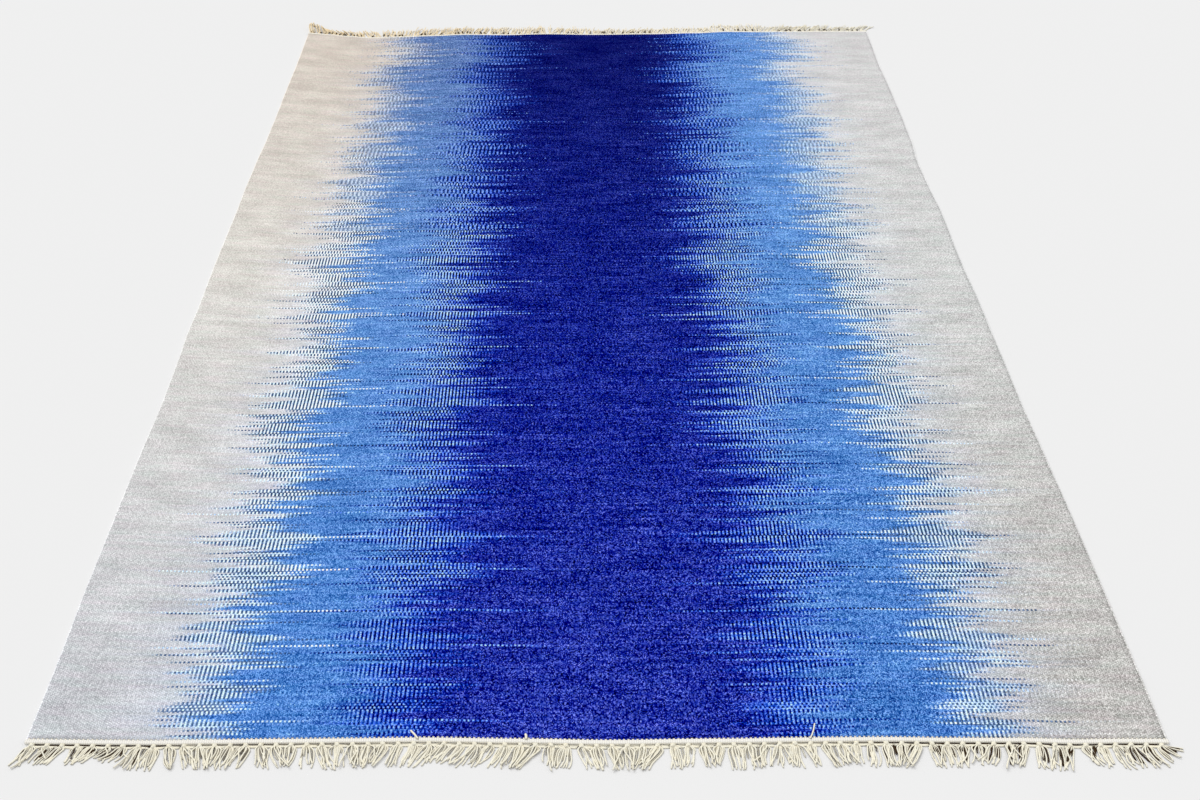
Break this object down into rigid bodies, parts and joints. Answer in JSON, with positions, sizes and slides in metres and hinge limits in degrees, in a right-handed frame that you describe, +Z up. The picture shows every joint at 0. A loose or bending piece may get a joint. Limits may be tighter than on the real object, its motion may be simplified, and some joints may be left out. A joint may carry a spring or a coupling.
{
  "type": "dhurrie",
  "caption": "Flat-woven floor rug with weft-dyed feathered stripes running its length, undyed headings and a knotted warp fringe at both ends.",
  "frame": {"origin": "middle of the rug's whole outline, fringes included, on the floor", "axes": "+X across the rug to the right as seen from the near end, +Y along the rug towards the far end, +Z up"},
  "size_m": [1.5688, 2.5366, 0.0056],
  "materials": {
    "dyed_weft_cotton": "matte",
    "natural_warp_cotton": "matte"
  },
  "bodies": {
    "root": {"woven_field": "dyed_weft_cotton", "fringe_near": "natural_warp_cotton", "fringe_far": "natural_warp_cotton"}
  },
  "joints": []
}
